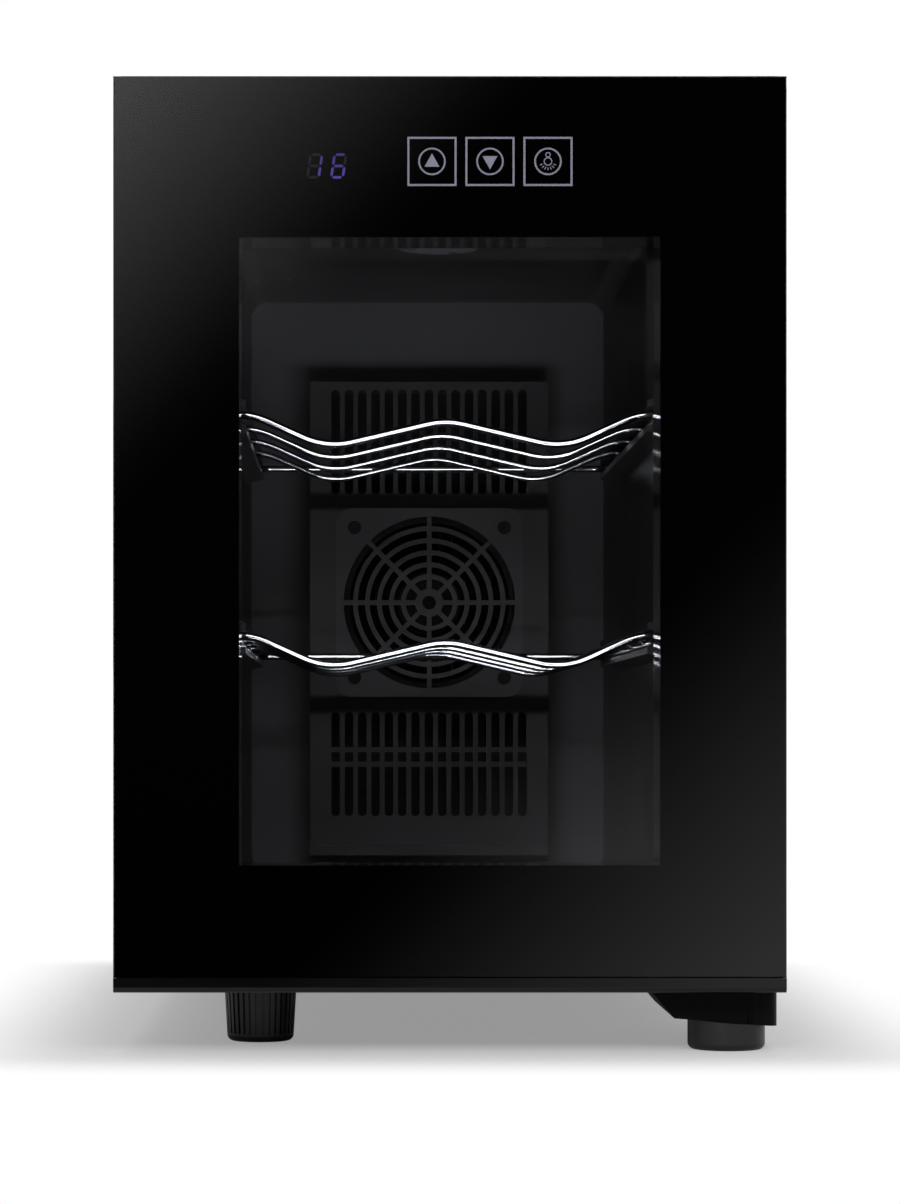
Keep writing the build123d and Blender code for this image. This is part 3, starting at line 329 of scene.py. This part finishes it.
def foam():
    """Poured insulation: pale skin with open cells."""
    made = Surface("insulation_foam", (0.72, 0.62, 0.38), 0.9)
    cell = made.cells(scale=700.0)
    slow = made.noise(scale=24.0, detail=5.0)
    made.tint(slow, (0.62, 0.52, 0.30), (0.80, 0.72, 0.48))
    made.rough(cell, 0.82, 0.95)
    made.bump(cell, depth=0.4 * MM, strength=0.7)
    return made.mat


def ceramic():
    """White ceramic plates of the cooling module."""
    made = Surface("module_ceramic", (0.80, 0.80, 0.78), 0.6)
    grain = made.noise(scale=900.0, detail=4.0)
    made.tint(grain, (0.74, 0.74, 0.71), (0.86, 0.86, 0.84))
    made.rough(grain, 0.5, 0.7)
    made.bump(grain, depth=0.03 * MM, strength=0.5)
    return made.mat


def circuit():
    """Green board with tracks under the lacquer."""
    made = Surface("circuit_board", (0.01, 0.11, 0.05), 0.35)
    tracks = made.node("ShaderNodeTexBrick")
    tracks.inputs["Scale"].default_value = 160.0
    tracks.inputs["Mortar Size"].default_value = 0.05
    made.link(made.place(), tracks.inputs["Vector"])
    made.tint(tracks.outputs["Fac"], (0.008, 0.09, 0.04), (0.03, 0.20, 0.09))
    made.rough(made.noise(scale=200.0), 0.28, 0.42)
    made.bump(tracks.outputs["Fac"], depth=0.04 * MM, strength=0.6)
    return made.mat


def milky_lens():
    """Diffuser of the ceiling light: milky plastic with a frosted face."""
    made = Surface("light_diffuser", (0.30, 0.31, 0.33), 0.35)
    frost = made.noise(scale=500.0, detail=2.0)
    slow = made.noise(scale=60.0, detail=3.0)
    made.tint(slow, (0.27, 0.28, 0.30), (0.33, 0.34, 0.36))
    made.rough(slow, 0.25, 0.45)
    made.bump(frost, depth=0.05 * MM, strength=0.5)
    made.socket("Subsurface Weight", 0.25)
    made.socket("Subsurface Radius", (0.004, 0.004, 0.004))
    return made.mat


def clear_glass(name, tint, mirror_share):
    """Flat glass: what is behind shows through, and the face mirrors by its angle, with smears and dust."""
    made = Surface(name, (0.95, 0.95, 0.95), 0.02, metal=1.0)
    smear = made.noise(scale=16.0, detail=5.0, stretch=(1.0, 1.0, 0.45))
    made.rough(smear, 0.004, 0.03)
    through = made.node("ShaderNodeBsdfTransparent")
    through.inputs["Color"].default_value = (*tint, 1.0)
    mirror = made.node("ShaderNodeFresnel")
    mirror.inputs["IOR"].default_value = GLASS_INDEX
    dust = made.spread(made.noise(scale=2600.0, detail=1.0), 0.0, DUST, DUST_SPAN)
    share = made.node("ShaderNodeMath", operation="MULTIPLY_ADD")
    share.inputs[1].default_value = mirror_share
    made.link(mirror.outputs["Fac"], share.inputs[0])
    made.link(dust, share.inputs[2])
    mix = made.node("ShaderNodeMixShader")
    made.link(share.outputs["Value"], mix.inputs["Fac"])
    made.link(through.outputs["BSDF"], mix.inputs[1])
    made.link(made.shader.outputs["BSDF"], mix.inputs[2])
    made.link(mix.outputs["Shader"], made.output.inputs["Surface"])
    return made.mat


def screen_ink(name, colour, glow):
    """Ink or lit segments behind the glass: a fine halftone in the colour, with a faint glow of its own,
    which on the printed marks is painted light.
    """
    made = Surface(name, colour, 0.5)
    grain = made.noise(scale=3500.0, detail=2.0)
    made.tint(grain, *shades(colour, INK_TONES))
    made.rough(grain, 0.4, 0.6)
    made.socket("Specular IOR Level", 0.0)
    made.socket("Emission Color", (*colour, 1.0))
    made.socket("Emission Strength", glow)
    return made


def lit_ink(z):
    """Lit bars of the display, dimmer towards the top of the figures."""
    made = screen_ink("lit_bars", LIT_VIOLET, 1.0)
    half = DIGIT_HEIGHT / 2
    glow = made.spread(made.axes()["Z"], 1.0, LIT_TOP, (z - half, z + half))
    made.link(glow, made.shader.inputs["Emission Strength"])
    return made.mat


UPRIGHT_LINES = (9.0, 9.0, 0.6)  # how often a texture changes along X, Y and Z
LEVEL_LINES = (1.0, 1.0, 9.0)
TURNED_LINES = (1.0, 1.0, 12.0)
COVER_GRAIN = {"grain": 1500.0, "depth": 0.03 * MM, "rough": (0.3, 0.44)}
SMOOTH_GRAIN = {"grain": 900.0, "depth": 0.01 * MM}
FINISHES = {
    "front_glass": clear_glass("front_glass_clear", (0.945, 0.945, 0.952), mirror_share=1.0),
    "inner_glass": clear_glass("inner_pane_clear", (0.955, 0.955, 0.962), mirror_share=0.3),
    "door_plastic": gloss_black(),
    "gasket": rubber(),
    "liner_plastic": liner_styrene(),
    "guard_plastic": moulded("guard_plastic", (0.074, 0.0745, 0.078), **COVER_GRAIN),
    "black_steel": powder_coat(),
    "bracket_plastic": moulded("bracket_plastic", (0.003, 0.003, 0.0035), **SMOOTH_GRAIN,
                               rough=(0.16, 0.24), mirror=0.05),
    "foot_plastic": moulded("foot_plastic", (0.008, 0.008, 0.009), **SMOOTH_GRAIN,
                            rough=(0.28, 0.38), mirror=0.4),
    "foam": foam(),
    "zinc_steel": drawn_metal("zinc_steel", (0.52, 0.53, 0.54), rough=(0.28, 0.46),
                              stretch=LEVEL_LINES, scale=260.0),
    "fan_plastic": moulded("fan_plastic", (0.009, 0.009, 0.0095), grain=1200.0, depth=0.04 * MM,
                           rough=(0.4, 0.55), mirror=0.15),
    "aluminium": drawn_metal("extruded_aluminium", (0.72, 0.73, 0.74), rough=(0.24, 0.42),
                             stretch=UPRIGHT_LINES, scale=300.0),
    "ceramic": ceramic(),
    "circuit_board": circuit(),
    "lens": milky_lens(),
    "bush": moulded("nylon_bush", (0.62, 0.61, 0.57), grain=900.0, depth=0.03 * MM, rough=(0.4, 0.55)),
    "brass": drawn_metal("turned_brass", (0.66, 0.50, 0.22), rough=(0.22, 0.38),
                         stretch=TURNED_LINES, scale=240.0),
    "copper_pad": drawn_metal("copper_pad", (0.68, 0.36, 0.22), rough=(0.3, 0.45),
                              stretch=EVEN, scale=500.0),
    "display": gloss_black(),
    "chrome": chrome(),
}


def dress_solids():
    """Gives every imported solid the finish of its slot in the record, or its own."""
    own = {"cold_sink": drawn_metal("anodised_aluminium", (0.012, 0.012, 0.013), rough=(0.4, 0.6),
                                    stretch=UPRIGHT_LINES, scale=300.0),
           "rear_air_cover": moulded("cover_plastic", (0.052, 0.0525, 0.055), **COVER_GRAIN)}
    for part in frame["record"]["subparts"]:
        solid = nodes[part["node"]]
        finish = own.get(part["node"], FINISHES[part["material_slot"]])
        for place in solid.material_slots:
            place.material = finish


# Flat pieces behind the face of the glass
CIRCLE_POINTS = 48
HOLDER_POINTS = 24
BULB_POINTS = 32


def circle(x, z, radius, count=CIRCLE_POINTS):
    turn = 2 * math.pi / count
    return [(x + radius * math.cos(i * turn), z + radius * math.sin(i * turn)) for i in range(count)]


def rectangle(x0, x1, z0, z1):
    return [(x0, z0), (x1, z0), (x1, z1), (x0, z1)]


def square(x, z, size):
    return rectangle(x - size / 2, x + size / 2, z - size / 2, z + size / 2)


class FlatPiece:
    """A thin piece of the door, drawn in X and Z and given a thickness along Y."""

    def __init__(self, name, depth, thickness):
        self.name = name
        self.low = GLASS_FRONT + depth
        self.high = self.low + thickness
        self.mesh = bmesh.new()

    def loops(self, outline):
        return [[self.mesh.verts.new((x, y, z)) for x, z in outline] for y in (self.low, self.high)]

    def prism(self, outline):
        """A filled outline, drawn anticlockwise as seen from the front."""
        near, far = self.loops(outline)
        self.mesh.faces.new(near)
        self.mesh.faces.new(far[::-1])
        self.walls(near, far)

    def walls(self, near, far):
        for i in range(len(near)):
            self.mesh.faces.new((near[i - 1], far[i - 1], far[i], near[i]))

    def band(self, outline, hole):
        """The strip between an outline and a hole with as many points."""
        near, far = self.loops(outline)
        near_hole, far_hole = self.loops(hole)
        for i in range(len(outline)):
            self.mesh.faces.new((near[i - 1], near[i], near_hole[i], near_hole[i - 1]))
            self.mesh.faces.new((far[i], far[i - 1], far_hole[i - 1], far_hole[i]))
        self.walls(near, far)
        self.walls(near_hole[::-1], far_hole[::-1])

    def finish(self, mat, slot):
        bmesh.ops.recalc_face_normals(self.mesh, faces=self.mesh.faces)
        data = bpy.data.meshes.new(self.name)
        self.mesh.to_mesh(data)
        self.mesh.free()
        data.materials.append(mat)
        made = bpy.data.objects.new(self.name, data)
        scene.collection.objects.link(made)
        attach(made, "door")
        return made


PRINT_DEPTH = 0.9 * MM
MARK_DEPTH = 0.6 * MM
SHEET = 0.1 * MM
PRINT_EDGE = 0.05 * MM


def glass_print():
    """The black border that is printed behind the glass round its window."""
    made = FlatPiece("glass_print", PRINT_DEPTH, SHEET)
    border = rectangle(glass_low[0] + PRINT_EDGE, glass_high[0] - PRINT_EDGE,
                       glass_low[2] + PRINT_EDGE, glass_high[2] - PRINT_EDGE)
    made.band(border, rectangle(*WINDOW))
    return made.finish(screen_ink("black_print", INK_BLACK, 0.0).mat, "door_plastic")


MARK_SIZE = 18.4 * MM
MARK_LINE = 0.76 * MM
MARK_RISE = 0.4 * MM
RING_RADIUS = 5.15 * MM
RING_LINE = 0.64 * MM
ARROW_WIDTH = 5.6 * MM
ARROW_HEIGHT = 5.0 * MM
ARROW_BASE = 0.4  # share of the arrow on the far side of the ring's middle
PAD_WIDTH = 16.0 * MM
BULB_LINE = 0.4 * MM
BULB_SMALL = 1.03 * MM
BULB_LARGE = 1.6 * MM
BULB_RISE = 2.5 * MM
RAY_COUNT = 7
RAY_STEP = math.radians(21.7)
RAY_START = 2.25 * MM
RAY_END = 3.3 * MM
RAY_LINE = 0.34 * MM


def touch_mark(name, x, z, draw):
    """A square with a ring in it, and a sign in the ring."""
    made = FlatPiece(name, MARK_DEPTH, SHEET)
    made.band(square(x, z, MARK_SIZE), square(x, z, MARK_SIZE - 2 * MARK_LINE))
    made.band(circle(x, z, RING_RADIUS), circle(x, z, RING_RADIUS - RING_LINE))
    draw(made, x, z)
    return made.finish(mark_ink, "display")


def arrow(direction):
    """A filled triangle that points up or down."""
    def draw(made, x, z):
        half = ARROW_WIDTH / 2
        base = z - direction * ARROW_HEIGHT * ARROW_BASE
        tip = base + direction * ARROW_HEIGHT
        made.prism([(x - direction * half, base), (x + direction * half, base), (x, tip)])
    return draw


def lamp_sign(made, x, z):
    """A lamp holder over a bulb, with rays below it."""
    for height, radius, count in ((z + BULB_RISE, BULB_SMALL, HOLDER_POINTS), (z, BULB_LARGE, BULB_POINTS)):
        made.band(circle(x, height, radius, count), circle(x, height, radius - BULB_LINE, count))
    for i in range(RAY_COUNT):
        angle = -math.pi / 2 + (i - (RAY_COUNT - 1) / 2) * RAY_STEP
        along = (math.cos(angle), math.sin(angle))
        side = (-along[1] * RAY_LINE / 2, along[0] * RAY_LINE / 2)
        corners = ((RAY_START, -1), (RAY_END, -1), (RAY_END, 1), (RAY_START, 1))
        made.prism([(x + along[0] * run + side[0] * way, z + along[1] * run + side[1] * way)
                    for run, way in corners])


DIGIT_HEIGHT = 8.5 * MM
DIGIT_WIDTH = 4.3 * MM
DIGIT_PITCH = 9.0 * MM
DIGIT_SLANT = 0.148
BAR = 0.95 * MM
BAR_GAP = 0.34 * MM
LIT_BARS = ("bc", "acdefg")
DISPLAY_DROP = 0.6 * MM
DISPLAY_LEFT = 1.2 * MM


def digit_bars():
    """Ends of the seven bars of a digit, about its middle."""
    x = DIGIT_WIDTH / 2
    z = DIGIT_HEIGHT / 2
    return {"a": ((-x, z), (x, z)), "b": ((x, 0), (x, z)), "c": ((x, -z), (x, 0)), "d": ((-x, -z), (x, -z)),
            "e": ((-x, -z), (-x, 0)), "f": ((-x, 0), (-x, z)), "g": ((-x, 0), (x, 0))}


def bar_outline(start, end, x, z):
    """A bar with pointed ends, leaning with its digit."""
    length = math.dist(start, end)
    along = ((end[0] - start[0]) / length, (end[1] - start[1]) / length)
    across = (-along[1], along[0])
    half = BAR / 2
    runs = ((BAR_GAP, 0), (BAR_GAP + half, -half), (length - BAR_GAP - half, -half),
            (length - BAR_GAP, 0), (length - BAR_GAP - half, half), (BAR_GAP + half, half))
    outline = []
    for run, off in runs:
        px = start[0] + along[0] * run + across[0] * off
        pz = start[1] + along[1] * run + across[1] * off
        outline.append((x + px + DIGIT_SLANT * pz, z + pz))
    return outline


def display_digits():
    """The two figures: lit bars, and the unlit ones that show faintly."""
    lit = FlatPiece("display_lit_bars", MARK_DEPTH, SHEET)
    unlit = FlatPiece("display_unlit_bars", MARK_DEPTH, SHEET)
    middle = (display_low[0] + display_high[0]) / 2 - DISPLAY_LEFT
    z = (display_low[2] + display_high[2]) / 2 - DISPLAY_DROP
    for i, shown in enumerate(LIT_BARS):
        x = middle + (i - 0.5) * DIGIT_PITCH
        for bar, (start, end) in digit_bars().items():
            target = lit if bar in shown else unlit
            target.prism(bar_outline(start, end, x, z))
    lit.finish(lit_ink(z), "display")
    unlit.finish(screen_ink("unlit_bars", UNLIT_GREY, 0.0).mat, "display")


dress_solids()
# the marks' ink carries a painted glow
mark_ink = screen_ink("mark_ink", INK_GREY, INK_PAINTED_GLOW).mat
glass_print()
mark_z = (pads_low[2] + pads_high[2]) / 2 + MARK_RISE
mark_x = (pads_low[0] + pads_high[0]) / 2
mark_pitch = (pads_high[0] - pads_low[0] - PAD_WIDTH) / 2
touch_mark("touch_mark_up", mark_x - mark_pitch, mark_z, arrow(1))
touch_mark("touch_mark_down", mark_x, mark_z, arrow(-1))
touch_mark("touch_mark_light", mark_x + mark_pitch, mark_z, lamp_sign)
display_digits()


# Floor that fades into the white background
FLOOR_X = 0.9
FLOOR_Y = 0.6
FLOOR_MIDDLE = 0.05
FLOOR_RINGS = 10
FLOOR_COUNT = 64
PAPER_DARK = (0.48, 0.48, 0.48)
PAPER_PALE = (0.52, 0.52, 0.52)
PAPER_ROUGH = 0.9
FLOOR_GLOW = 0.3  # share of plain white seen near the object, as on a lit table
FADE_WIDTH = 0.09  # from the object's outline to plain white


def floor():
    """A flat oval of rings under the object."""
    mesh = bmesh.new()
    middle = mesh.verts.new((0, FLOOR_MIDDLE, 0))
    rings = []
    for i in range(FLOOR_RINGS):
        share = (i + 1) / FLOOR_RINGS
        ring = []
        for x, y in circle(0, 0, share, FLOOR_COUNT):
            ring.append(mesh.verts.new((x * FLOOR_X, FLOOR_MIDDLE + y * FLOOR_Y, 0)))
        rings.append(ring)
    for i in range(FLOOR_COUNT):
        mesh.faces.new((middle, rings[0][i - 1], rings[0][i]))
        for inner, outer in zip(rings, rings[1:]):
            mesh.faces.new((inner[i - 1], outer[i - 1], outer[i], inner[i]))
    data = bpy.data.meshes.new("floor")
    mesh.to_mesh(data)
    mesh.free()
    made = bpy.data.objects.new("floor", data)
    scene.collection.objects.link(made)
    data.materials.append(floor_finish())


def floor_finish():
    """Pale paper near the object, with its shadow; further out it becomes the white background."""
    made = Surface("floor_paper", PAPER_DARK, PAPER_ROUGH)
    grain = made.noise(scale=300.0, detail=3.0)
    made.tint(grain, PAPER_DARK, PAPER_PALE)
    made.bump(grain, depth=0.05 * MM, strength=0.3)
    place = made.place()
    for operation, value in (("ABSOLUTE", None), ("SUBTRACT", cad_box[1]), ("MAXIMUM", (0.0, 0.0, 0.0))):
        step = made.node("ShaderNodeVectorMath", operation=operation)
        made.link(place, step.inputs[0])
        if value is not None:
            step.inputs[1].default_value = value
        place = step.outputs["Vector"]
    away = made.node("ShaderNodeVectorMath", operation="LENGTH")
    made.link(place, away.inputs[0])
    fade = made.spread(away.outputs["Value"], FLOOR_GLOW, 1.0, (0.0, FADE_WIDTH), "SMOOTHSTEP")
    white = made.node("ShaderNodeEmission")
    path = made.node("ShaderNodeLightPath")
    mix = made.node("ShaderNodeMixShader")
    made.link(made.product(fade, path.outputs["Is Camera Ray"]), mix.inputs["Fac"])
    made.link(made.shader.outputs["BSDF"], mix.inputs[1])
    made.link(white.outputs["Emission"], mix.inputs[2])
    made.link(mix.outputs["Shader"], made.output.inputs["Surface"])
    return made.mat


# Studio: white behind, a dark gap round the camera that the glass mirrors, and soft light elsewhere
STUDIO_LEVEL = 0.55
UPPER_SHEEN = 1.4
LOWER_SHEEN = 0.66
UPPER_SLOPE = (0.12, 0.24)  # height less sideways place of a direction, where a sheen starts and is full
LOWER_SLOPE = (-0.045, -0.177)
UPPER_POWER = 2.0
LOWER_POWER = 1.5
GAP_START = 0.90
GAP_END = 0.968
BEHIND_EASE = 0.3


def studio():
    """The world: plain white where it is seen, and the pattern that the door glass mirrors."""
    world = bpy.data.worlds.new("studio")
    scene.world = world
    world.use_nodes = True
    tree = world.node_tree
    tree.nodes.clear()

    def node(kind, **settings):
        made = tree.nodes.new(kind)
        for key, value in settings.items():
            setattr(made, key, value)
        return made

    def math_node(operation, first, second):
        made = node("ShaderNodeMath", operation=operation)
        for i, value in enumerate((first, second)):
            if isinstance(value, (int, float)):
                made.inputs[i].default_value = value
            else:
                tree.links.new(value, made.inputs[i])
        return made.outputs["Value"]

    def ease(value, start, end, low, high):
        made = node("ShaderNodeMapRange")
        for key, number in (("From Min", start), ("From Max", end), ("To Min", low), ("To Max", high)):
            made.inputs[key].default_value = number
        tree.links.new(value, made.inputs["Value"])
        return made.outputs["Result"]

    axes = node("ShaderNodeSeparateXYZ")
    tree.links.new(node("ShaderNodeTexCoord").outputs["Generated"], axes.inputs["Vector"])
    ahead = math_node("MULTIPLY", axes.outputs["Y"], -1.0)
    outside = ease(ahead, GAP_START, GAP_END, 1.0, 0.0)
    slope = math_node("SUBTRACT", axes.outputs["Z"], axes.outputs["X"])
    upper_left = math_node("POWER", ease(slope, *UPPER_SLOPE, *WHOLE), UPPER_POWER)
    lower_right = math_node("POWER", ease(slope, *LOWER_SLOPE, *WHOLE), LOWER_POWER)
    sheen = math_node("ADD", math_node("MULTIPLY", upper_left, UPPER_SHEEN),
                      math_node("MULTIPLY", lower_right, LOWER_SHEEN))
    wide = math_node("MULTIPLY", outside, STUDIO_LEVEL)
    inner = math_node("MULTIPLY", sheen, math_node("SUBTRACT", 1.0, outside))
    level = math_node("ADD", wide, inner)
    path = node("ShaderNodeLightPath")
    rear = ease(axes.outputs["Y"], 0.0, BEHIND_EASE, *WHOLE)
    behind = math_node("MULTIPLY", path.outputs["Is Glossy Ray"], rear)
    white = math_node("MAXIMUM", path.outputs["Is Camera Ray"], path.outputs["Is Transmission Ray"])
    white = math_node("MAXIMUM", white, behind)
    strength = math_node("MAXIMUM", level, white)
    back = node("ShaderNodeBackground")
    back.inputs["Color"].default_value = (1.0, 1.0, 1.0, 1.0)
    tree.links.new(strength, back.inputs["Strength"])
    tree.links.new(back.outputs["Background"], node("ShaderNodeOutputWorld").inputs["Surface"])


OBJECT_MIDDLE = (0.0, -0.1, 0.18)
LAMPS = (  # name, place, width, height, power
    ("key_right", (1.0, -1.3, 1.1), 0.9, 0.9, 6.0),
    ("front_strip", (0.05, -1.5, 0.73), 1.3, 0.2, 8.0),
    ("front_low", (0.05, -1.5, -0.28), 1.0, 0.2, 9.0),
    ("front_high", (0.1, -1.4, 1.05), 1.3, 0.4, 4.0),
    ("fill_left", (-1.3, -0.9, 0.8), 0.9, 0.9, 4.0),
    ("top_soft", (0.0, 0.3, 1.7), 1.2, 1.2, 8.0),
)
TRANSPARENT_BOUNCES = 32


def lamp_receivers():
    """Everything but the two panes, so that no lamp stands mirrored in the flat glass."""
    made = bpy.data.collections.new("lamp_receivers")
    for name in ("front_glass", "inner_pane"):
        made.objects.link(nodes[name])
    for member in made.collection_objects:
        member.light_linking.link_state = "EXCLUDE"
    return made


def lamp(name, place, width, height, power, receivers):
    """A soft light that points at the object."""
    data = bpy.data.lights.new(name, "AREA")
    data.shape = "RECTANGLE"
    data.size = width
    data.size_y = height
    data.energy = power
    made = bpy.data.objects.new(name, data)
    made.location = place
    offset = [a - p for a, p in zip(OBJECT_MIDDLE, place)]
    flat = math.hypot(offset[0], offset[1])
    made.rotation_euler = (math.atan2(flat, -offset[2]), 0.0, math.atan2(-offset[0], offset[1]))
    made.light_linking.receiver_collection = receivers
    scene.collection.objects.link(made)


def camera():
    """The photograph's camera: level, facing the door squarely, with the frame shifted off its axis."""
    data = bpy.data.cameras.new("camera")
    data.sensor_width = SENSOR
    data.lens = FOCAL_PIXELS / PHOTO_HEIGHT * SENSOR
    data.shift_x = (PHOTO_WIDTH / 2 - AXIS_PIXEL[0]) / PHOTO_HEIGHT
    data.shift_y = (AXIS_PIXEL[1] - PHOTO_HEIGHT / 2) / PHOTO_HEIGHT
    made = bpy.data.objects.new("camera", data)
    made.location = (CAMERA_X, GLASS_FRONT - CAMERA_BACK, CAMERA_Z)
    made.rotation_euler = (math.pi / 2, 0.0, 0.0)
    scene.collection.objects.link(made)
    scene.camera = made


floor()
studio()
receivers = lamp_receivers()
for values in LAMPS:
    lamp(*values, receivers)
camera()
scene.view_settings.view_transform = "Standard"
scene.cycles.transparent_max_bounces = TRANSPARENT_BOUNCES
